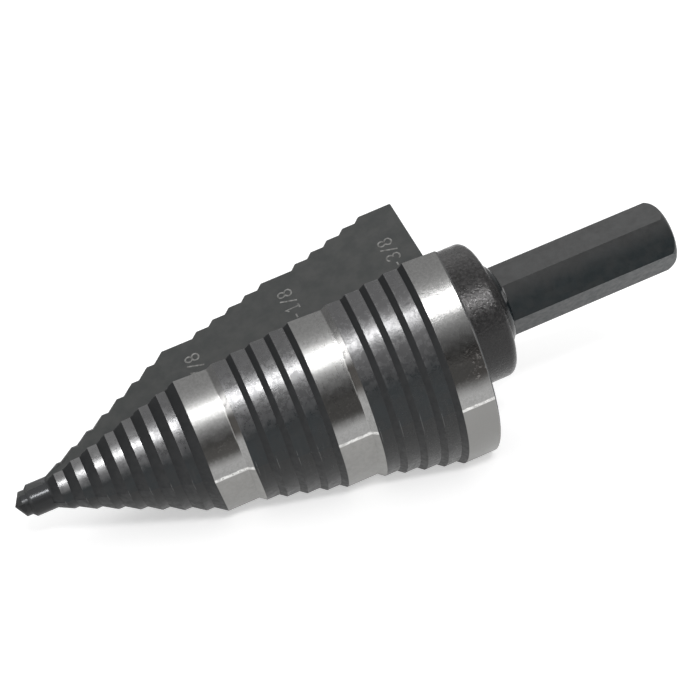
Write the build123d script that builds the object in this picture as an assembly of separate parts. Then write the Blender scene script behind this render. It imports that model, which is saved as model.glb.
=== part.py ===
from build123d import *
import math
import os

# A one-piece stepped cone drill for sheet metal: a pilot point, seven small
# steps, three ground hole sizes with four small steps between them, a collar
# and a hexagonal shank. Each of its two lobes cuts on its leading edge, keeps
# its full size over a margin, and is then relieved: its lands fall inward and
# its risers lean back. Lengths in mm, angles in degrees. "x" is measured from
# the point along the drill's own axis; "around" from the middle of a flute,
# negative toward the cutting edge.

# hole sizes and steps
HOLE_D = (22.225, 28.575, 34.925)      # 7/8, 1-1/8 and 1-3/8 inch
SMALL_STEPS = (7, 4, 4)                # small steps before each hole size
STEP_PITCH = 2.51                      # along the axis, one small step
BAND_PITCH = 5.02                      # along the axis, one hole size
REAR = 58.77                           # rear face of the largest hole size
RISER_HALF_ANGLE = 41.0                # riser cones, from the axis
MARGIN_END = -97.25                    # around: where the relief starts
HEEL_SPAN = 53.0                       # from there to the heel
RELIEF_AXIAL = (0.80, 0.45, 0.22)      # how far a riser has leaned back at the heel
RELIEF_RADIAL = 0.20                   # how far a land has fallen inward at the heel

# point and pilot
POINT_ANGLE = 118.0
NOSE_D = 3.33
NOSE_END = 1.75
PILOT_D = 4.25
PILOT_EDGE = 2.2
FIRST_CORNER = 6.70                    # of the first step, at the heel
SPLIT_WEB = 0.30                       # what the split point leaves at the middle

# flutes: a V of two flat faces whose root climbs in two straight runs
ROOT_START_R, ROOT_START_AROUND = 0.90, -21.6
ROOT_KNEE_X, ROOT_KNEE_R, ROOT_KNEE_AROUND = 23.3, 6.63, -21.6
ROOT_END_R, ROOT_END_AROUND = 11.06, -32.05
RAKE_AROUND = -26.35                   # direction of the rake face in section
HEEL_AROUND = 68.15                    # direction of the heel face in section
ROOT_RADIUS = 0.8

# collar and shank
REAR_BREAK = 0.30
COLLAR_D = 18.4
COLLAR_REAR = 65.42
COLLAR_ROUND = 1.15
NECK_LENGTH = 1.75
HEX_AF = 8.25
HEX_AROUND = -8.45                     # one flat, from the middle of a flute
END_ROUND_AXIAL, END_ROUND_RADIAL = 1.20, 1.19
END_ROUND_RADIUS = 1.9
LENGTH = 91.1


def around(angle, r=1.0, x=0.0):
    """A point at radius r, turned by angle from the middle of the flute."""
    t = math.radians(angle)
    return Vector(x, r * math.sin(t), r * math.cos(t))


# every step: x of its corner over the margin, its radius, and how far the
# corner has moved back at the heel
steps = []
x_heel, r_last, back_last = FIRST_CORNER, PILOT_D / 2, RELIEF_AXIAL[0]
for hole_d, small, back in zip(HOLE_D, SMALL_STEPS, RELIEF_AXIAL):
    for k in range(1, small + 2):
        part_way = k / (small + 1)
        back_k = back_last + (back - back_last) * part_way
        steps.append((x_heel - back_k, r_last + (hole_d / 2 - r_last) * part_way, back_k))
        x_heel += BAND_PITCH if k == small + 1 else STEP_PITCH
    r_last, back_last = hole_d / 2, back
x_band3, r_band3, back_band3 = steps[-1]
x_band2, r_band2, back_band2 = steps[-1 - SMALL_STEPS[2] - 1]
tan_riser = math.tan(math.radians(RISER_HALF_ANGLE))


def revolved(points):
    """A solid of revolution about the drill axis from (x, radius) points."""
    line = Polyline([(p[0], 0, p[1]) for p in points], close=True)
    return revolve(make_face(line), Axis.X)


def along_x(x, centre, shape):
    """A round shape standing on z, laid along the drill axis from x backward."""
    return Plane(origin=Vector(x, centre.Y, centre.Z), x_dir=(0, 1, 0), z_dir=(1, 0, 0)) * shape


def freeform(shape):
    """The same shape on freeform surfaces, so that flat cuts leave spline edges."""
    return shape.transform_geometry(Matrix())


def sector(start, stop):
    """Everything between two half planes through the drill axis."""
    big = 8 * r_band3
    points = [Vector(0, 0, 0)] + [around(start + (stop - start) * k / 4, big) for k in range(5)]
    wedge = make_face(Polyline(points, close=True))
    return Pos(-LENGTH, 0, 0) * Solid.extrude(wedge.face(), Vector(3 * LENGTH, 0, 0))


# the V flutes: each run is one section pushed along the slanting root
rake_dir, heel_dir = around(RAKE_AROUND), around(HEEL_AROUND)
reach = 2.2 * r_band3


def root(r, angle, x):
    return around(angle, r, x)


def v_run(start, stop):
    wire = Polyline([start, start + rake_dir * reach, start + heel_dir * reach], close=True)
    section = fillet(make_face(wire).vertices().sort_by_distance(start)[0], ROOT_RADIUS)
    step = stop - start
    return Solid.extrude(section.face(), step)


run_a, run_b = root(ROOT_START_R, ROOT_START_AROUND, -1.0), root(ROOT_KNEE_R, ROOT_KNEE_AROUND, ROOT_KNEE_X)
run_c = root(ROOT_END_R, ROOT_END_AROUND, REAR)
run_d = run_c + (run_c - run_b) * (2.0 / (REAR - ROOT_KNEE_X))
flute = Part() + v_run(run_a, run_b) + v_run(run_b, run_d)

# over the margin every land and riser is turned about the drill axis
x_join = (PILOT_EDGE + steps[0][0]) / 2
margin_line = [(x_join, 0), (x_join, PILOT_D / 2)]
r_before = PILOT_D / 2
for x, r, _ in steps:
    margin_line += [(x - (r - r_before) / tan_riser, r_before), (x, r)]
    r_before = r
margin_line += [(REAR + 3, r_before), (REAR + 3, 0)]
margin = revolved(margin_line) & sector(MARGIN_END, 0)

# behind it each step is a cylinder moved off the axis, so that its land falls
# inward, and a cone tipped about the end of the margin, so that its riser leans
# back; both still meet the margin at its end
on_x = (Align.CENTER, Align.CENTER, Align.MIN)
at_heel = math.sin(math.radians(HEEL_SPAN))
fall = RELIEF_RADIAL / at_heel
off = around(MARGIN_END + 90, fall)
relieved = along_x(x_join, Vector(0, 0, 0), Cylinder(PILOT_D / 2, steps[0][0] + 2 * steps[0][2] - x_join, align=on_x))
pieces = []
for k, (x, r, back) in enumerate(steps):
    x_next = steps[k + 1][0] + 2 * steps[k + 1][2] if k + 1 < len(steps) else REAR + 3
    r_off = math.hypot(r, fall)
    front = x - r_off / tan_riser
    land = along_x(front, off, Cylinder(r_off, x_next - front, align=on_x))
    length = 2 * (x_next - front)
    riser = along_x(front, off, Cone(0, length * tan_riser, length, align=on_x))
    lean = math.degrees(math.asin(back / at_heel / r))
    pieces.append(land & riser.rotate(Axis((x, 0, 0), around(MARGIN_END)), lean))
relieved = relieved.fuse(*pieces) & sector(-180, MARGIN_END)

big = 4 * r_band3
trim = revolved([(x_join, 0), (x_join, big), (REAR - big + r_band3 - REAR_BREAK, big),
                 (REAR, r_band3 - REAR_BREAK), (REAR, 0)])
lobe = freeform((margin + relieved) & trim)
for turn in (0, 180):
    lobe -= Rot(turn, 0, 0) * flute
cone = lobe + Rot(180, 0, 0) * lobe

# point, nose and pilot
x_lip = (NOSE_D / 2) / math.tan(math.radians(POINT_ANGLE / 2))
point = freeform(revolved([(0, 0), (x_lip, NOSE_D / 2), (NOSE_END, NOSE_D / 2),
                           (PILOT_EDGE, PILOT_D / 2), (x_join, PILOT_D / 2), (x_join, 0)]))

# collar with a rounded rear edge, and the neck that runs down to the shank
hex_ac = HEX_AF / math.cos(math.radians(30))
collar = revolved([(REAR - 3, 0), (REAR - 3, COLLAR_D / 2), (COLLAR_REAR, COLLAR_D / 2), (COLLAR_REAR, 0)])
collar = fillet(collar.edges().filter_by(GeomType.CIRCLE).sort_by(Axis.X)[-1], COLLAR_ROUND)
with BuildPart() as neck_part:
    with BuildSketch(Plane.XZ) as neck_face:
        with BuildLine():
            Polyline((COLLAR_REAR - 1, 0), (COLLAR_REAR - 1, HEX_AF / 2 + NECK_LENGTH),
                     (COLLAR_REAR, HEX_AF / 2 + NECK_LENGTH))
            RadiusArc((COLLAR_REAR, HEX_AF / 2 + NECK_LENGTH), (COLLAR_REAR + NECK_LENGTH, HEX_AF / 2), NECK_LENGTH)
            Polyline((COLLAR_REAR + NECK_LENGTH, HEX_AF / 2), (COLLAR_REAR + NECK_LENGTH, 0), (COLLAR_REAR - 1, 0))
        make_face()
    revolve(axis=Axis.X)
neck = neck_part.part

# hexagonal shank, its end turned round
hexagon = Plane(origin=(COLLAR_REAR - 1, 0, 0), x_dir=around(HEX_AROUND), z_dir=(1, 0, 0)) * \
    RegularPolygon(HEX_AF / 2, 6, major_radius=False, rotation=30)
shank = extrude(hexagon, LENGTH - COLLAR_REAR + 1)
end_r = hex_ac / 2 - END_ROUND_RADIAL
with BuildPart() as turned_part:
    with BuildSketch(Plane.XZ) as turned_face:
        with BuildLine():
            Polyline((LENGTH, end_r), (LENGTH, 0), (COLLAR_REAR - 2, 0), (COLLAR_REAR - 2, hex_ac / 2 + 1),
                     (LENGTH - END_ROUND_AXIAL, hex_ac / 2 + 1), (LENGTH - END_ROUND_AXIAL, hex_ac / 2))
            RadiusArc((LENGTH - END_ROUND_AXIAL, hex_ac / 2), (LENGTH, end_r), END_ROUND_RADIUS)
        make_face()
    revolve(axis=Axis.X)
turned = turned_part.part
shank = shank & turned

body = cone + point + collar + neck + shank

# split point: a notch on each side that thins the web behind the lips
for turn in (0, 180):
    notch = Rot(turn + RAKE_AROUND, 0, 0) * Pos(-0.15, 0, 0) * Rot(0, 0, 42) * \
        Pos(0, NOSE_D + SPLIT_WEB / 2, NOSE_D) * Box(2 * NOSE_D, 2 * NOSE_D, 2 * NOSE_D)
    body -= notch

# the rest pose: lying with a flute down, on the two lobe edges of the largest
# size and the cutting edge of the middle size
def edge_point(direction, x, r):
    """Where a flute face meets the land of radius r at x, on the lower flute."""
    a, b = (run_a, run_b) if x < ROOT_KNEE_X else (run_b, run_c)
    p = a + (b - a) * ((x - a.X) / (b.X - a.X))
    flat = Vector(0, p.Y, p.Z)
    along = flat.dot(direction)
    t = -along + math.sqrt(along ** 2 + r ** 2 - flat.dot(flat))
    q = p + direction * t
    return Vector(x, -q.Y, -q.Z)


heel3 = edge_point(heel_dir, x_band3 + back_band3, r_band3 - RELIEF_RADIAL)
lip3 = edge_point(rake_dir, x_band3, r_band3)
lip2 = edge_point(rake_dir, x_band2, r_band2)
up = (heel3 - lip3).cross(lip2 - lip3)
up = up.normalized() * (1 if up.Z > 0 else -1)
axis = Vector(1, 0, 0)
ahead = (axis - up * axis.dot(up)).normalized()
rest = Plane(origin=lip3, x_dir=ahead, z_dir=up)
body = rest.to_local_coords(body)
box = body.bounding_box()
shift = Vector(-(box.min.X + box.max.X) / 2, -(box.min.Y + box.max.Y) / 2, -box.min.Z)
body = Pos(shift) * body

solid = body.solids()[0] if len(body.solids()) == 1 else Compound(body.solids())
os.makedirs("parts", exist_ok=True)
export_step(solid, "parts/drill_body.step")

# where things ended up in the row frame, for the record
def row_point(v):
    return rest.to_local_coords(v) + shift


def row_dir(v):
    return rest.to_local_coords(v) - rest.to_local_coords(Vector(0, 0, 0))


print("solids", len(body.solids()), "volume mm3", round(body.volume, 1))
c = body.center(CenterOf.MASS)
print("centre of mass", [round(v, 3) for v in c])
print("bbox", [round(v, 3) for v in body.bounding_box().min], [round(v, 3) for v in body.bounding_box().max])
print("tip", [round(v, 3) for v in row_point(Vector(0, 0, 0))], "axis", [round(v, 5) for v in row_dir(axis)])
print("shank end centre", [round(v, 3) for v in row_point(Vector(LENGTH, 0, 0))])
print("flute up", [round(v, 5) for v in row_dir(Vector(0, 0, 1))], "side", [round(v, 5) for v in row_dir(Vector(0, 1, 0))])
mid = (COLLAR_REAR + NECK_LENGTH + LENGTH - END_ROUND_AXIAL) / 2
for k in range(6):
    a = HEX_AROUND + 60 * k
    print("flat", k, [round(v, 3) for v in row_point(around(a, HEX_AF / 2, mid))], "normal", [round(v, 5) for v in row_dir(around(a))])
for name, v in (("heel3", heel3), ("lip3", lip3), ("lip2", lip2)):
    print(name, [round(t, 3) for t in v], "row", [round(t, 3) for t in row_point(v)])
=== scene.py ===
# %% [markdown]
# # A stepped cone drill, dressed for a studio picture
#
# The drill is one piece of hardened steel. Most of it wears a thin black oxide
# skin, and the three wide bands, which set the finished hole sizes, are ground
# bright after that skin is made. The solid comes from CAD already in place;
# this lesson adds the finishes, the size marks, the light and the camera.

# %% Load the packed model
import math

import bpy
from mathutils import Matrix, Vector


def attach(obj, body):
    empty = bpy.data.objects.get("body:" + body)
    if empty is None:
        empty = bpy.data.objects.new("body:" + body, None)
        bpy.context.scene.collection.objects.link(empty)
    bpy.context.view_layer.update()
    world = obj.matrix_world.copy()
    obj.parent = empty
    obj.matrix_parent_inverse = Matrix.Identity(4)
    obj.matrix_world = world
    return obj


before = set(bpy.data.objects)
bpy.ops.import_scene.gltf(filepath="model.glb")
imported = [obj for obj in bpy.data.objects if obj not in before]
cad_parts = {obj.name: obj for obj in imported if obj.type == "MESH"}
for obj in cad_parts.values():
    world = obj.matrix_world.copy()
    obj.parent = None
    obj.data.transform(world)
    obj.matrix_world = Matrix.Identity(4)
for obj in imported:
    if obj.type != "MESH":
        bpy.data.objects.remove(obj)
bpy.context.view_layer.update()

# %% [markdown]
# ## Where things are on the drill
#
# The drill lies at a slant, so its own frame is set up first: an origin at the
# point, X along the axis toward the shank, Z out of the middle of the upper
# flute and Y across it. Places on the drill are then said in millimetres from
# the point, as a toolmaker reads them off a drawing.

# %% The drill's own frame
POINT = Vector((-45.259, 0.0, 6.222)) / 1000
ALONG = Vector((0.98741, 0.0, 0.15819)).normalized()
FLUTE = Vector((-0.15813, -0.02948, 0.98698)).normalized()
ACROSS = FLUTE.cross(ALONG).normalized()
LENGTH = 91.1

to_row = Matrix((
    (ALONG.x, ACROSS.x, FLUTE.x, POINT.x),
    (ALONG.y, ACROSS.y, FLUTE.y, POINT.y),
    (ALONG.z, ACROSS.z, FLUTE.z, POINT.z),
    (0, 0, 0, 1),
)) @ Matrix.Diagonal((0.001, 0.001, 0.001, 1))


def around(angle, radius, x=0.0):
    """A point of the drill, its angle in degrees from the middle of the flute."""
    turn = math.radians(angle)
    return Vector((x, radius * math.sin(turn), radius * math.cos(turn)))


print("shank end at", tuple(round(v, 4) for v in to_row @ Vector((LENGTH, 0, 0))))

# %% [markdown]
# ## The sizes that the finish follows
#
# The border between black skin and ground steel isn't drawn by hand. It lies
# where the grinding wheel stopped, at the corners of the steps, so the finish
# is worked out from the same few sizes as the solid: where each band starts and
# ends, how far those corners lean back behind the margin, and the root line of
# the V flutes.

# %% Sizes in millimetres and degrees
MARGIN_END = -97.25      # where the relief starts, from the middle of a flute
HEEL_SPAN = 53.0         # from there to the heel
RELIEF_RADIAL = 0.20     # how far a land has fallen inward at the heel
STEP_PITCH = 2.51        # along the axis, one small step
REAR = 58.77             # rear face of the last band
# each band: front corner, its lean at the heel, rear border, its lean, radius
BANDS = (
    (23.47, 0.80, 28.56, 0.73, 11.1125),
    (38.88, 0.45, 43.946, 0.404, 14.2875),
    (54.17, 0.22, 59.2, 0.0, 17.4625),
)
ROOT_START = around(-21.6, 0.90, -1.0)
ROOT_KNEE = around(-21.6, 6.63, 23.3)
ROOT_END = around(-32.05, 11.06, REAR)
RAKE_WALL = around(-26.35, 1.0)
HEEL_WALL = around(68.15, 1.0)
print("root climbs from", round(ROOT_KNEE.yz.length, 2), "to", round(ROOT_END.yz.length, 2), "mm")

# %% [markdown]
# ## Shader maths as plain expressions
#
# A finish that depends on place needs a lot of small sums. Written as nodes one
# by one they can't be read, so a small class wraps a socket and lets Python's
# own operators add the Math nodes. Any other node comes from its one method.

# %% A socket that can be used in sums
class Wire:
    """A socket of a material, or a plain tree to start from."""

    def __init__(self, tree, socket=None):
        self.tree, self.socket = tree, socket

    def node(self, kind, settings=None, sockets=None, out=0):
        """A node of this kind: its settings first, then values or links by
        socket name or number. The Wire that comes back is its output `out`."""
        made = self.tree.nodes.new("ShaderNode" + kind)
        for name, value in (settings or {}).items():
            if name == "stops":
                ramp = made.color_ramp
                while len(ramp.elements) < len(value):
                    ramp.elements.new(0.5)
                for element, (place, shade) in zip(ramp.elements, value):
                    element.position, element.color = place, (*shade, 1.0)
            else:
                setattr(made, name, value)
        for name, value in (sockets or {}).items():
            if isinstance(value, Wire):
                self.tree.links.new(value.socket, made.inputs[name])
            else:
                made.inputs[name].default_value = value
        return Wire(self.tree, made.outputs[out] if made.outputs else None)

    def maths(self, operation, *others):
        """A Math node on this value and any others."""
        return self.node("Math", {"operation": operation}, dict(enumerate((self, *others))))

    def __add__(self, other): return self.maths("ADD", other)
    def __sub__(self, other): return self.maths("SUBTRACT", other)
    def __mul__(self, other): return self.maths("MULTIPLY", other)
    def __truediv__(self, other): return self.maths("DIVIDE", other)
    def __gt__(self, other): return self.maths("GREATER_THAN", other)
    def __lt__(self, other): return self.maths("LESS_THAN", other)
    def __neg__(self): return self.maths("MULTIPLY", -1.0)
    def __rsub__(self, other): return (-self).maths("ADD", other)
    __radd__, __rmul__ = __add__, __mul__

    def step(self, low, high):
        """Rises smoothly from 0 to 1 as the value goes from low to high."""
        return self.node("MapRange", {"interpolation_type": "SMOOTHSTEP"}, {
            "Value": self, "From Min": low, "From Max": high, "To Min": 0.0, "To Max": 1.0})

    def between(self, rise, fall):
        """Rises from 0 to 1 over the first pair of values, falls back over the second."""
        return self.step(*rise) * (1.0 - self.step(*fall))

    def near_zero(self, full, none):
        """1 where the value is within `full` of zero, 0 where it is past `none`."""
        return 1.0 - self.maths("ABSOLUTE").step(full, none)

    def mixed(self, a, b):
        """From colour a to colour b as this value goes from 0 to 1."""
        a, b = (c if isinstance(c, Wire) else (*c, 1.0) for c in (a, b))
        return self.node("Mix", {"data_type": "RGBA"}, {0: self, 6: a, 7: b}, out=2)

    def noise(self, scale, detail, roughness=0.5):
        """A noise field over this vector; its features are about 1 / scale wide."""
        return self.node("TexNoise", None, {
            "Vector": self, "Scale": scale, "Detail": detail, "Roughness": roughness})


def new_material(name):
    """An empty material and a Wire to start its nodes from."""
    material = bpy.data.materials.new(name)
    material.use_nodes = True
    material.node_tree.nodes.clear()
    return material, Wire(material.node_tree)


print("a Wire can", ", ".join(name for name in vars(Wire) if not name.startswith("_")))


# %% [markdown]
# ## Reading the drill's own coordinates in the shader
#
# The material works out, for every point of the surface, how far along the axis
# it is, its radius, and its angle. Half a turn looks the same, so the angle is
# folded onto one lobe. From these come three masks: the ground bands, the flute
# walls, and the relief behind the margin. The collar and the shank have no
# lobes, and the folded angle would leave a seam on them, so their shading goes
# by the height over the axis.

# %% Places as sockets
def dotted(start, a, b):
    """The dot product of two vectors, as a plain value."""
    return start.node("VectorMath", {"operation": "DOT_PRODUCT"}, {0: a, 1: b}, out="Value")


def drill_places(start):
    """Sockets, in mm and degrees: x, then across and up turned onto one lobe,
    radius, folded angle, and height over the axis."""
    place = start.node("TexCoord", out="Object")
    from_point = start.node("VectorMath", {"operation": "SUBTRACT"}, {0: place, 1: POINT})
    x = dotted(start, from_point, ALONG * 1000)
    across = dotted(start, from_point, ACROSS * 1000)
    up = dotted(start, from_point, FLUTE * 1000)
    radius = (across * across + up * up).maths("SQRT")
    angle = across.maths("ARCTAN2", up) * math.degrees(1)
    folded = angle - (angle > 0.0) * 180.0
    side = (up > 0.0) * 2.0 - 1.0
    return x, across * side, up * side, radius, folded, up


def flute_depths(x, across, up):
    """How far inside the two walls of the nearer flute a point lies, in mm."""
    front = x < ROOT_KNEE.x
    run_a = (ROOT_KNEE - ROOT_START) / (ROOT_KNEE.x - ROOT_START.x)
    run_b = (ROOT_END - ROOT_KNEE) / (ROOT_END.x - ROOT_KNEE.x)
    past = x - ROOT_KNEE.x
    root_y = past * (front * (run_a.y - run_b.y) + run_b.y) + ROOT_KNEE.y
    root_z = past * (front * (run_a.z - run_b.z) + run_b.z) + ROOT_KNEE.z
    dy, dz = across - root_y, up - root_z
    opening = RAKE_WALL.y * HEEL_WALL.z - RAKE_WALL.z * HEEL_WALL.y
    from_heel_wall = (dy * HEEL_WALL.z - dz * HEEL_WALL.y) / opening
    from_rake_wall = (dz * RAKE_WALL.y - dy * RAKE_WALL.z) / opening
    return from_heel_wall, from_rake_wall


def band_mask(x, radius, lean):
    """1 on the ground steel of the bands, 0 elsewhere."""
    blur = 0.03                # half the width of a border
    shallow, deep = 0.06, 0.16     # a face this far below the band is black again
    total = 0.0
    for front, front_lean, rear, rear_lean, size in BANDS:
        after = (x - lean * front_lean).step(front - blur, front + blur)
        before = 1.0 - (x - lean * rear_lean).step(rear - blur, rear + blur)
        outside = (radius + lean * RELIEF_RADIAL).step(size - deep, size - shallow)
        total = total + after * before * outside
    return total


print("bands from", ", ".join(f"{front} to {rear}" for front, _, rear, _, _ in BANDS), "mm")


# %% [markdown]
# ## The steel's finish
#
# One material covers the whole drill, because it is one piece. The black oxide
# is a skin a thousandth of a millimetre thick, dark and slightly blue under its
# oil. Over the margin the small lands were ground after it, so their steel
# shows through there. It fades out a little below the highlight, well before
# the relief starts; that early fade is partly painted shade. The flute walls and
# the risers are duller. The three bands are bare metal with fine lines that
# run round the drill. It could be three materials on three sets of faces, but
# the borders are soft and worn, so masks worked out from place are better:
# they fade, they take noise, and they follow the sizes if those change.

# %% Masks of the cone: flute walls, bands, risers and lands
FIRST_STEP = (5.0, 5.2)        # a pair is where a fade starts and where it ends

finish, start = new_material("drill_steel")
x, across, up, radius, folded, height = drill_places(start)
behind = MARGIN_END - folded
turn_behind = behind.maths("MAXIMUM", 0.0) * math.radians(1)
# a tipped cone or a shifted cylinder moves as a sine: 0 at the margin, 1 at the heel
lean = turn_behind.maths("SINE") / math.sin(math.radians(HEEL_SPAN))
relieved = behind.step(-0.3, 0.3)

from_heel_wall, from_rake_wall = flute_depths(x, across, up)
wall = from_heel_wall.maths("MINIMUM", from_rake_wall).step(-0.04, -0.01) * (x < REAR + 0.05)
band = band_mask(x, radius, lean) * (1.0 - wall)
facing = dotted(start, start.node("NewGeometry", out="True Normal"), ALONG)
riser = facing.step(-0.2, -0.5) * (x < REAR)
cone = x.step(*FIRST_STEP) * (x < REAR)
land = (1.0 - wall) * (1.0 - riser) * cone * (1.0 - band)
print("nodes for the masks of the cone", len(finish.node_tree.nodes))

# %% [markdown]
# ### The strips behind two bands
#
# A narrow strip runs along the rear of the first and the second band. Just
# below the highlight it is darker, partly tarnish and partly painted shade; at
# the highlight it carries a painted highlight, and a painted highlight line runs
# along its front border. Each strip is found from that border, which leans
# nearly as the band does.

# %% Masks of the strips
# each strip: its front border, the lean there, and a place between it and the next band
STRIPS = ((27.72, 0.73, 35.0), (43.10, 0.40, 50.0))
LINE_BEFORE_STRIP = 0.02
STRIP_GLINT_ANGLES = ((-80.0, -70.0), (-60.0, -54.0))

strip = strip_glint_line = 0.0
for front, front_lean, beyond in STRIPS:
    past_front = x - lean * front_lean - front
    strip = strip + (past_front > 0.0) * (x < beyond)
    strip_glint_line = strip_glint_line + (past_front + LINE_BEFORE_STRIP).near_zero(0.03, 0.11)
strip = strip * band
# a painted highlight line along each strip's front border, only in a window of angles below the highlight
strip_glint_line = strip_glint_line * folded.between(*STRIP_GLINT_ANGLES)
# the strips darker just below the highlight: partly tarnish, partly painted shade
strip_shade = strip * folded.step(-78.0, -70.0) * (1.0 - folded.step(-62.0, -56.0) * 0.8)
print("strips", len(STRIPS))

# %% [markdown]
# ### The collar, the shank and the point
#
# The collar and the shank have no flutes, so their masks need only the place
# along the axis. The point has, so its mask leaves the flute walls out. A
# painted glint of bright steel sits on the upper side of the neck, and a
# painted sheen of lighter steel on the upper side of the pilot; both go by the
# height over the axis.

# %% Masks of the round parts
COLLAR_START = (REAR - 0.02, REAR + 0.02)
COLLAR_END = (66.0, 66.6)
NECK = ((66.4, 66.6), (67.1, 67.3))
NECK_GLINT_HEIGHT = ((2.2, 2.8), (3.2, 3.8))
SHANK_START = (66.8, 67.2)
NOSE_END = (4.6, 5.0)
PILOT_START = (1.0, 1.1)
PILOT_SHEEN_HEIGHT = (0.4, 1.3)

collar = x.between(COLLAR_START, COLLAR_END)
# a painted glint: bright steel on the upper side of the neck only
neck_glint = x.between(*NECK) * height.between(*NECK_GLINT_HEIGHT)
shank = x.step(*SHANK_START)
nose = (1.0 - x.step(*NOSE_END)) * (1.0 - wall)
# a painted sheen: lighter steel on the upper side of the pilot, black below
pilot_sheen = nose * x.step(*PILOT_START) * height.step(*PILOT_SHEEN_HEIGHT)
print("collar from", COLLAR_START[0], "shank from", SHANK_START[0], "mm")

# %% [markdown]
# ### Where it rubs
#
# Wear sits on edges: along the corners of the steps, along the lip of the
# cutting edge, and most of all at the end of the margin, where a ground line
# catches the light. The corners are found by counting step pitches back from
# the next band, so one sum serves all of them.

# %% Worn edges
PAST_CORNER = 0.12             # a band counts as passed this far behind its corner

next_band, next_lean = BANDS[0][:2]
for (this, this_lean, *_), (following, following_lean, *_) in zip(BANDS, BANDS[1:]):
    passed = x > this + PAST_CORNER
    next_band = next_band + passed * (following - this)
    next_lean = next_lean + passed * (following_lean - this_lean)
steps_ahead = (next_band - x + lean * next_lean) / STEP_PITCH
behind_corner = (1.0 - steps_ahead.maths("FRACT")) * STEP_PITCH
corner = (1.0 - behind_corner.step(0.04, 0.16)) * cone * (1.0 - wall)
foot = behind_corner.between((1.15, 1.4), (1.5, 1.7)) * land
lip = from_rake_wall.near_zero(0.03, 0.16) * (x < REAR - 0.1) * (x > 5.5) * (1.0 - wall)
print("steps between bands", [round((b[0] - a[0]) / STEP_PITCH, 2) for a, b in zip(BANDS, BANDS[1:])])

# %% [markdown]
# ### Noise at the right scale
#
# Each unevenness has its own size: grinding lines are a tenth of a millimetre
# apart and long, grain is finer than the eye expects, mottles and blotches are
# one to two millimetres. Noise in round coordinates is stretched along the
# angle, which draws the lines out around the drill.

# %% Noise fields, in millimetres
flat = start.node("CombineXYZ", None, {0: x, 1: across, 2: up})
blotches = flat.noise(0.45, 5.0, 0.6)
mottles = flat.noise(1.3, 4.0, 0.65)
grain = flat.noise(3.2, 3.0, 0.6)
specks = flat.noise(3.0, 2.0, 0.7)
round_lines = start.node("CombineXYZ", None, {0: x * 7.0, 1: folded * 0.06, 2: radius * 2.0})
fine_lines = round_lines.noise(1.0, 3.0)
long_streaks = start.node("CombineXYZ", None, {0: x * 2.2, 1: folded * 0.05, 2: radius * 0.3})
streaks = long_streaks.noise(1.0, 3.0, 0.55)
print("noise fields", sum(node.bl_idname == "ShaderNodeTexNoise" for node in finish.node_tree.nodes))

# %% [markdown]
# ### The black lands
#
# The skin is bluest over the margin, with faint blotches and long streaks. The
# wheel that ground the small lands wore the skin off above a ragged border, and
# it wore more off near the point, where the lands are narrow. That border lies a
# little below the highlight, above the start of the relief, so the black under
# it is partly painted shade.

# %% The black skin and the ground lands
OXIDE_MARGIN, OXIDE_RELIEF = (0.0042, 0.0085, 0.0108), (0.0088, 0.0098, 0.0102)
OXIDE_BLOTCH, OXIDE_STREAK = (0.0105, 0.0105, 0.0103), (0.030, 0.030, 0.030)
GROUND_POINT, GROUND_MIDDLE, GROUND_REAR = (0.260, 0.260, 0.262), (0.172, 0.172, 0.175), (0.127, 0.127, 0.129)
GROUND_FOOT = (0.30, 0.30, 0.30)
POLISH_BORDER, POLISH_RAGGED = (-79.0, -61.0), 12.0

# the ground steel stops a little below the highlight; the black left under it is partly painted shade
polish = land * (folded + (mottles - 0.5) * POLISH_RAGGED).step(*POLISH_BORDER)
skin = relieved.mixed(OXIDE_MARGIN, OXIDE_RELIEF)
skin = (blotches.step(0.35, 0.65) * 0.5).mixed(skin, OXIDE_BLOTCH)
skin = (streaks.step(0.50, 0.72) * behind.step(-25.0, 5.0) * 0.35).mixed(skin, OXIDE_STREAK)
bare = x.step(24.0, 46.0).mixed(GROUND_MIDDLE, GROUND_REAR)
bare = x.step(7.0, 22.0).mixed(GROUND_POINT, bare)
skin = polish.mixed(skin, bare)
skin = (foot * polish * 0.06).mixed(skin, GROUND_FOOT)
print("nodes so far", len(finish.node_tree.nodes))

# %% [markdown]
# ### The dull faces
#
# Flute walls are milled and left alone, so they are greyer than the lands. The
# risers see little light. The collar is as it came from the forge, dark with
# dusty specks; its upper side is lighter and more metallic, partly dust and
# partly a painted sheen. The shank is painted paler on its upper side, a
# painted light.

# %% Walls, risers, collar, shank and point
WALL_DARK, WALL_LIGHT = (0.046, 0.0495, 0.0488), (0.065, 0.0665, 0.0650)
RISER_LOW, RISER_HIGH = (0.0110, 0.0114, 0.0116), (0.0060, 0.0070, 0.0080)
SOOT_DARK, SOOT_LIGHT = (0.0080, 0.0074, 0.0076), (0.0150, 0.0140, 0.0142)
DUST_AND_SHEEN_DARK, DUST_AND_SHEEN_LIGHT = (0.0450, 0.0438, 0.0438), (0.0780, 0.0762, 0.0762)
SHANK_LOW, SHANK_HIGH = (0.0070, 0.0125, 0.0145), (0.0460, 0.0470, 0.0475)
SHANK_BLOTCH = (0.0270, 0.0270, 0.0265)
NOSE_BLACK, PILOT_SHEEN, NECK_GLINT = (0.0040, 0.0045, 0.0050), (0.085, 0.087, 0.090), (0.42, 0.42, 0.42)
COLLAR_SHEEN_HEIGHT, SHANK_LIGHT_HEIGHT = (1.2, 4.1), (0.9, 3.8)

black = wall.mixed(skin, blotches.step(0.3, 0.7).mixed(WALL_DARK, WALL_LIGHT))
black = (riser * (1.0 - wall)).mixed(black, folded.step(-118.0, -96.0).mixed(RISER_LOW, RISER_HIGH))
speckled = specks.step(0.4, 0.65)
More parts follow.
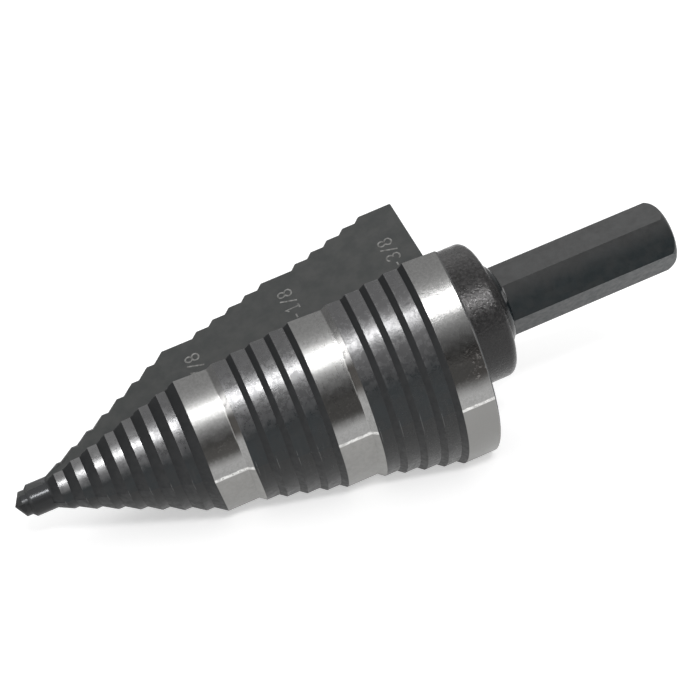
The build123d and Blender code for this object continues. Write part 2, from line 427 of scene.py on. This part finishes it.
# the collar's upper side lighter and more metallic: dust specks and a painted sheen
collar_dust_and_sheen = collar * height.step(*COLLAR_SHEEN_HEIGHT)
forged = collar_dust_and_sheen.mixed(speckled.mixed(SOOT_DARK, SOOT_LIGHT), speckled.mixed(DUST_AND_SHEEN_DARK, DUST_AND_SHEEN_LIGHT))
black = collar.mixed(black, forged)
# the shank painted paler on its upper side: painted light
shank_top_light = height.step(*SHANK_LIGHT_HEIGHT).mixed(SHANK_LOW, SHANK_HIGH)
black = shank.mixed(black, (blotches.step(0.35, 0.65) * 0.4).mixed(shank_top_light, SHANK_BLOTCH))
black = (nose * 0.9).mixed(black, NOSE_BLACK)
# the pilot's painted sheen of lighter steel
black = (pilot_sheen * 0.9).mixed(black, PILOT_SHEEN)
# the painted glint at the neck
black = neck_glint.mixed(black, NECK_GLINT)
print("nodes so far", len(finish.node_tree.nodes))

# %% [markdown]
# ### Bare metal at the corners
#
# Bare metal shows through where the corners rub, most of all at the end of the
# margin. Mottles break each worn line, because an even one looks painted on.

# %% Rubbed corners
RUBBED = (0.22, 0.22, 0.22)
END_OF_MARGIN = ((-6.0, -2.0), (3.0, 8.0))

rubbed_land = polish * mottles.step(0.35, 0.6) * 0.4
rubbed_margin = behind.between(*END_OF_MARGIN) * mottles.step(0.30, 0.55) * 0.3
rubbed = corner * (rubbed_land + rubbed_margin)
rubbed = rubbed.maths("MAXIMUM", lip * mottles.step(0.4, 0.6) * 0.5)
black = rubbed.mixed(black, RUBBED)
print("nodes so far", len(finish.node_tree.nodes))

# %% [markdown]
# ### The ground bands
#
# Bare steel has little colour of its own: it is grey because the room is. What
# tells it apart is what lies on it and what it mirrors. The ground bands get a
# brown-black band below the highlight, partly tarnish and partly painted shade
# of a dark room; a few rust spots near the rear; and a painted highlight along
# the ridge at the start of the relief.

# %% Ground steel, its tarnish and its painted shade
STEEL_DARK, STEEL_LIGHT = (0.26, 0.259, 0.255), (0.31, 0.309, 0.305)
# these tarnish colours also paint shade: partly tarnish, partly painted shade of a dark room
SHADE_AND_TARNISH_FRONT, SHADE_AND_TARNISH_REAR = (0.044, 0.042, 0.039), (0.0210, 0.0198, 0.0182)
SHADE_AND_TARNISH_THIN, SHADE_AND_TARNISH_STRIP = (0.067, 0.065, 0.061), (0.050, 0.046, 0.042)
PAINTED_STRIP_HIGHLIGHT = (0.75, 0.74, 0.73)
SHADE_AND_TARNISH_FOOT, SHADE_AND_TARNISH_HEAD = (-89.5, -80.5), (-74.0, -60.5)
STRIP_HIGHLIGHT_ANGLES = ((-60.0, -53.0), (-50.0, -43.0))

# a brown-black band below the highlight, partly tarnish and partly painted shade
foot_angle = folded + grain * 5.0 + x * 0.09 - 4.8
head_angle = folded + (mottles - 0.5) * 8.0
stain_and_shade = foot_angle.step(*SHADE_AND_TARNISH_FOOT) * (1.0 - head_angle.step(*SHADE_AND_TARNISH_HEAD))
tarnish_and_shade = x.step(26.0, 36.0).mixed(SHADE_AND_TARNISH_FRONT, SHADE_AND_TARNISH_REAR)
tarnish_and_shade = folded.step(-80.0, -69.0).mixed(tarnish_and_shade, SHADE_AND_TARNISH_THIN)
steel = grain.step(0.3, 0.7).mixed(STEEL_DARK, STEEL_LIGHT)
steel = (stain_and_shade * (1.0 - strip) * 0.92).mixed(steel, tarnish_and_shade)
# painted shade on the strips below the highlight, partly tarnish
steel = (strip_shade * 0.92).mixed(steel, SHADE_AND_TARNISH_STRIP)
# a painted highlight: lighter steel on the strips at the angle of the key lamp's highlight
strip_highlight = strip * folded.between(*STRIP_HIGHLIGHT_ANGLES) * mottles.step(0.25, 0.55)
steel = strip_highlight.mixed(steel, PAINTED_STRIP_HIGHLIGHT)
print("nodes so far", len(finish.node_tree.nodes))

# %% Rust, the relieved part and the painted highlight line
RUST, RUST_SPECK = (0.043, 0.039, 0.037), (0.20, 0.191, 0.185)
DULL_DARK, DULL_LIGHT, DULL_REAR = (0.262, 0.260, 0.252), (0.300, 0.297, 0.288), (0.238, 0.236, 0.229)
STRIP_GLINT_LINE, MARGIN_GLINT_LINE = (0.45, 0.445, 0.43), (0.76, 0.755, 0.74)
RUST_ANGLES = ((-93.0, -84.0), (-74.0, -66.0))
WANDER = 0.25                  # how far the bright line strays from straight, in mm

rust = blotches.step(0.40, 0.60) * folded.between(*RUST_ANGLES) * (0.25 + 0.75 * x.step(55.5, 57.5))
steel = (rust * 0.5).mixed(steel, RUST)
steel = (rust * grain.step(0.56, 0.64) * 0.6).mixed(steel, RUST_SPECK)
dull = mottles.step(0.3, 0.7).mixed(DULL_DARK, DULL_LIGHT)
steel = relieved.mixed(steel, x.step(46.0, 58.0).mixed(dull, DULL_REAR))
# the painted highlight line of the strips
steel = (strip_glint_line * (1.0 - relieved) * mottles.step(0.3, 0.5)).mixed(steel, STRIP_GLINT_LINE)
# a painted highlight: bright steel along the ridge at the end of the margin
from_line = behind * radius * math.radians(1) + (mottles - 0.5) * WANDER
margin_glint = from_line.near_zero(0.13, 0.30) * (mottles.step(0.40, 0.60) * 0.5 + 0.5)
steel = (margin_glint * grain.step(0.25, 0.45)).mixed(steel, MARGIN_GLINT_LINE)
colour = band.mixed(black, steel)
print("nodes so far", len(finish.node_tree.nodes))

# %% [markdown]
# ### Gloss
#
# A highlight's width comes from roughness. The ground faces are smoothest at
# the large end, and uneven roughness breaks their highlight into a bright core
# and a soft edge. The collar is as it came from the forge, so its grain is
# in the bump, where it turns a highlight into glitter.

# %% Gloss
# metal where the skin is bare, and where the neck glint and the sheens of the pilot and the collar are painted
bare_and_sheen = polish * (1.0 - x.step(26.0, 48.0) * 0.5) + pilot_sheen * 0.8 + neck_glint * 0.8 + collar_dust_and_sheen * 0.7
metal = band + (1.0 - band) * bare_and_sheen

steel_rough = 0.33 - x * 0.0026 + fine_lines * 0.06 + relieved * 0.12 + mottles * 0.06
black_rough = 0.27 - x * 0.0019 + mottles.step(0.32, 0.68) * (1.0 - wall) * (1.0 - nose) * 0.14
unground = (1.0 - polish) * land
duller_by = (
    (wall, 0.25), (shank, 0.22), (collar, 0.07), (riser, 0.25),
    (unground, 0.06), (nose, 0.15), (pilot_sheen, -0.20))
for mask, amount in duller_by:
    black_rough = black_rough + mask * amount
rough = black_rough + (steel_rough - black_rough) * band
print("nodes so far", len(finish.node_tree.nodes))

# %% Grain in the surface, and the finished material
BUMP_DISTANCE = 0.001

relief = fine_lines * (0.002 + metal * 0.003) + grain * (0.0015 + polish * 0.002 + band * 0.002)
relief = relief + mottles * (0.001 + (land + band + collar) * 0.003 + (polish + band) * 0.008)
relief = relief * (1.0 - nose * 0.97) + specks * collar * 0.055 + grain * rust * band * 0.03
bump = start.node("Bump", None, {"Strength": 1.0, "Distance": BUMP_DISTANCE, "Height": relief})
steel_shader = start.node("BsdfPrincipled", None, {
    "Base Color": colour, "Metallic": metal, "Roughness": rough, "Normal": bump,
    "Specular IOR Level": 0.4, "IOR": 1.5})
start.node("OutputMaterial", None, {"Surface": steel_shader})

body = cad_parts["drill_body"]
body.data.materials.clear()
body.data.materials.append(finish)
print("finish nodes", len(finish.node_tree.nodes))

# %% [markdown]
# ## The size marks
#
# Each wide band has its hole size marked beside it on the flute wall, etched in
# a thin grey line. The characters are built from single strokes, as an
# engraving machine draws them, and each stroke is a narrow flat ribbon just
# above the wall. That keeps them sharp at any distance, which a texture of the
# same size would not.

# %% Strokes of the characters, in a box 1 wide and 1.5 high
def arc(cx, cy, rx, ry, first, last, count=14):
    """Points along an ellipse, angles in degrees."""
    turns = [math.radians(first + (last - first) * n / count) for n in range(count + 1)]
    return [(cx + rx * math.cos(t), cy + ry * math.sin(t)) for t in turns]


STROKES = {
    "1": [[(0.25, 1.20), (0.55, 1.50), (0.55, 0.0)], [(0.25, 0.0), (0.85, 0.0)]],
    "3": [arc(0.48, 1.12, 0.38, 0.38, 160, -90), arc(0.48, 0.39, 0.44, 0.37, 90, -160)],
    "7": [[(0.08, 1.50), (0.92, 1.50), (0.36, 0.0)]],
    "8": [arc(0.50, 1.13, 0.36, 0.37, -90, 270, 22), arc(0.50, 0.38, 0.44, 0.38, 90, 450, 24)],
    "/": [[(0.18, -0.12), (0.82, 1.62)]],
    "-": [[(0.22, 0.72), (0.78, 0.72)]],
}
BOX_MIDDLE = Vector((0.5, 0.75))
print("characters", " ".join(STROKES))

# %% [markdown]
# ### From a stroke to a ribbon
#
# A stroke has no width, so each of its points becomes two corners, one on each
# side. At a bend they move outward, so that the ribbon keeps its width; a
# sharp bend would throw them far out, so that is held back.

# %% A ribbon along a stroke
SHARPEST_BEND = 0.6            # 1 is straight on; below this the corners stay put


def ribbon(points, width):
    """A flat ribbon along some points: its corners and its four-sided faces."""
    closed = math.dist(points[0], points[-1]) < 1e-6
    corners = []
    for n, here in enumerate(points):
        before = points[n - 1] if n else (points[-2] if closed else here)
        after = points[n + 1] if n + 1 < len(points) else (points[1] if closed else here)
        first = Vector(here) - Vector(before)
        second = Vector(after) - Vector(here)
        along = (first.normalized() + second.normalized()).normalized()
        normal = Vector((-along.y, along.x))
        square = Vector((-second.y, second.x)).normalized() if second.length else normal
        aside = normal * width / 2 / max(SHARPEST_BEND, abs(normal.dot(square)))
        corners += [Vector(here) + aside, Vector(here) - aside]
    return corners, [(2 * n, 2 * n + 1, 2 * n + 3, 2 * n + 2) for n in range(len(points) - 1)]


print("corners of a 1", len(ribbon(STROKES["1"][0], 0.2)[0]))

# %% [markdown]
# ### Onto the wall
#
# The marks lie on the heel wall of the upper flute. Two directions span that
# wall: along the root line, and outward from it. A third, square to both, lifts
# the ribbons clear of the steel.

# %% Lay the marks on the wall of the upper flute
SIZE, PITCH = 1.18, 1.36       # height unit and spacing of the characters, in mm
STROKE_WIDTH, LIFT = 0.21, 0.012
# text, its place along the axis, and how far out from the root its last character is
SIZE_MARKS = (("7/8", 27.3, 5.5), ("1-1/8", 41.3, 8.8), ("1-3/8", 55.5, 9.63))

run = (ROOT_END - ROOT_KNEE) / (ROOT_END.x - ROOT_KNEE.x)
away = run.cross(HEEL_WALL).normalized()
away = away if away.dot(RAKE_WALL) > 0 else -away


def size_mark(text, x, last):
    """A line of characters, tops toward the point: corners in metres, and faces."""
    corners, faces = [], []
    for place, character in enumerate(reversed(text)):
        for stroke in STROKES[character]:
            placed = [(Vector(point) - BOX_MIDDLE) * SIZE for point in stroke]
            flat_corners, quads = ribbon(placed, STROKE_WIDTH)
            faces += [tuple(len(corners) + index for index in quad) for quad in quads]
            for px, py in flat_corners:
                out_from_root = last - place * PITCH + px
                on_wall = ROOT_KNEE + run * (x - py - ROOT_KNEE.x) + HEEL_WALL * out_from_root
                corners.append(to_row @ (on_wall + away * LIFT))
    return corners, faces


all_corners, all_faces = [], []
for mark in SIZE_MARKS:
    corners, faces = size_mark(*mark)
    all_faces += [tuple(len(all_corners) + index for index in quad) for quad in faces]
    all_corners += corners
marks = bpy.data.meshes.new("size_marks")
marks.from_pydata(all_corners, [], all_faces)
size_marks = bpy.data.objects.new("size_marks", marks)
bpy.context.scene.collection.objects.link(size_marks)
print("size marks", len(all_faces), "faces")

# %% [markdown]
# ### The grey of the marks
#
# Etching leaves a matt grey that is darker in some places than in others. Noise
# about 0.4 mm wide gives that. Its scale is per metre, because here the place
# isn't turned into millimetres first.

# %% Finish of the marks
MARK_DARK, MARK_LIGHT = (0.13, 0.13, 0.125), (0.30, 0.30, 0.29)

etched, start_marks = new_material("etched_grey")
patchy = start_marks.node("TexCoord", out="Object").noise(2600.0, 3.0)
mark_shader = start_marks.node("BsdfPrincipled", None, {
    "Base Color": patchy.step(0.3, 0.7).mixed(MARK_DARK, MARK_LIGHT),
    "Roughness": 0.6, "Specular IOR Level": 0.3})
start_marks.node("OutputMaterial", None, {"Surface": mark_shader})
marks.materials.append(etched)
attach(size_marks, "root")
print("mark nodes", len(etched.node_tree.nodes))

# %% [markdown]
# ## Floor, light and room
#
# The floor is plain and pale. It is matt, and it glows a little for the camera
# and in mirrors, so that it looks white with no more light on the drill:
# diffuse rays don't see the glow. It is weak, so the drill's shadow still shows.

# %% Floor
FLOOR_HALF = 2.0
FLOOR_GAP = 0.00002            # a hair under the drill, so that the two don't mix
FLOOR_PALE, NO_GLOW, GLOW = (0.86, 0.86, 0.86, 1), (0.0, 0.0, 0.0), (0.5, 0.5, 0.5)

floor_finish, begin = new_material("floor_white")
seen = begin.node("LightPath", out="Is Camera Ray")
for ray in ("Is Glossy Ray", "Is Transmission Ray"):
    seen = seen.maths("MAXIMUM", begin.node("LightPath", out=ray))
matt = begin.node("BsdfDiffuse", None, {"Color": FLOOR_PALE})
glow = begin.node("Emission", None, {"Color": seen.mixed(NO_GLOW, GLOW), "Strength": 1.0})
begin.node("OutputMaterial", None, {"Surface": begin.node("AddShader", None, {0: matt, 1: glow})})

mesh = bpy.data.meshes.new("floor")
mesh.from_pydata([(a * FLOOR_HALF, b * FLOOR_HALF, 0) for a, b in ((-1, -1), (1, -1), (1, 1), (-1, 1))],
                 [], [(0, 1, 2, 3)])
floor = bpy.data.objects.new("floor", mesh)
floor.location.z = -FLOOR_GAP
floor.data.materials.append(floor_finish)
bpy.context.scene.collection.objects.link(floor)
print("floor", FLOOR_HALF * 2, "m wide")

# %% [markdown]
# ### The room
#
# The steel mirrors the room, so it needs one. It is bright above and dim near
# the horizon, brighter behind than in front: enough contrast for steel to look
# like steel, and level enough that a colour shows as it is written. A ramp on
# the direction does this without a picture of a real room.

# %% Room
ROOM_STOPS = (
    (0.0, (0.15, 0.15, 0.155)), (0.25, (0.27, 0.27, 0.275)), (0.6, (0.50, 0.50, 0.50)), (1.0, (0.60, 0.60, 0.60)))
BACK_IS_BRIGHTER = 0.5

world = bpy.data.worlds.new("room")
world.use_nodes = True
bpy.context.scene.world = world
world.node_tree.nodes.clear()
room = Wire(world.node_tree)
direction = room.node("TexCoord", out="Generated")
height_in_room = room.node("SeparateXYZ", None, {0: direction}, out="Z")
toward_back = room.node("SeparateXYZ", None, {0: direction}, out="Y")
shade = room.node("ValToRGB", {"stops": ROOM_STOPS}, {
    0: height_in_room + toward_back.step(0.0, 1.0) * BACK_IS_BRIGHTER})
room.node("OutputWorld", None, {"Surface": room.node("Background", None, {"Color": shade, "Strength": 1.0})})
print("room stops", len(ROOM_STOPS))

# %% [markdown]
# ### The lamps
#
# A round metal part shows its room as stripes, so the lamps are chosen by the
# stripes they make. The key lamp is wide along the drill and low in height, for
# one narrow bright line. A small lamp at the pointed end lights the faces that
# look forward, and a large weak one behind lifts the upper edges.

# %% Lamps
LAMPS_AIM = Vector((0, 0, 0.015))
# name, azimuth, elevation, distance, width, height, watts
LAMPS = (
    ("key_lamp", 1, 46.9, 0.60, 0.28, 0.100, 1.40),
    ("side_lamp", -82, 9, 0.60, 0.22, 0.12, 0.22),
    ("back_lamp", 160, 50, 0.80, 0.80, 0.60, 0.9),
)


def toward(azimuth, elevation):
    """The direction of a place around the drill; azimuth 0 is in front, along -Y."""
    a, e = math.radians(azimuth), math.radians(elevation)
    return Vector((math.sin(a) * math.cos(e), -math.cos(a) * math.cos(e), math.sin(e)))


def soft_lamp(name, azimuth, elevation, distance, width, height, watts):
    """A flat lamp aimed at the drill."""
    lamp = bpy.data.lights.new(name, "AREA")
    lamp.shape, lamp.size, lamp.size_y, lamp.energy = "RECTANGLE", width, height, watts
    holder = bpy.data.objects.new(name, lamp)
    holder.location = toward(azimuth, elevation) * distance + LAMPS_AIM
    holder.rotation_euler = toward(azimuth, elevation).to_track_quat("Z", "Y").to_euler()
    bpy.context.scene.collection.objects.link(holder)
    print(name, "at", tuple(round(v, 3) for v in holder.location))
    return holder


lamps = {lamp[0]: soft_lamp(*lamp) for lamp in LAMPS}
lamps["side_lamp"].visible_camera = False      # it stands low enough to show in a view from the shank

# %% [markdown]
# ## Camera
#
# A long lens, slightly above the drill and to its left, rolled a little so that
# the drill runs up the picture.

# %% Camera
AZIMUTH, ELEVATION, ROLL = -14.555, 25.316, 8.249
AIM = Vector((0.257, 0.074, 15.588)) / 1000
DISTANCE = 0.253218
FOCAL_PIXELS, PICTURE_PIXELS = 1984.10, 700    # focal length and picture width, in pixels
SENSOR = 36.0                                  # sensor width in mm

back = toward(AZIMUTH, ELEVATION)
rolled = Matrix.Rotation(-math.radians(ROLL), 3, back).to_quaternion()
lens = bpy.data.cameras.new("camera")
lens.sensor_width = SENSOR
lens.lens = SENSOR * FOCAL_PIXELS / PICTURE_PIXELS
lens.clip_start, lens.clip_end = 0.01, 10
camera = bpy.data.objects.new("camera", lens)
camera.location = AIM + back * DISTANCE
camera.rotation_mode = "QUATERNION"
camera.rotation_quaternion = rolled @ (-back).to_track_quat("-Z", "Y")
bpy.context.scene.collection.objects.link(camera)
bpy.context.scene.camera = camera
bpy.context.scene.view_settings.view_transform = "Standard"
print("camera at", tuple(round(v, 4) for v in camera.location), "lens", round(lens.lens, 2))

# %% [markdown]
# ## The end
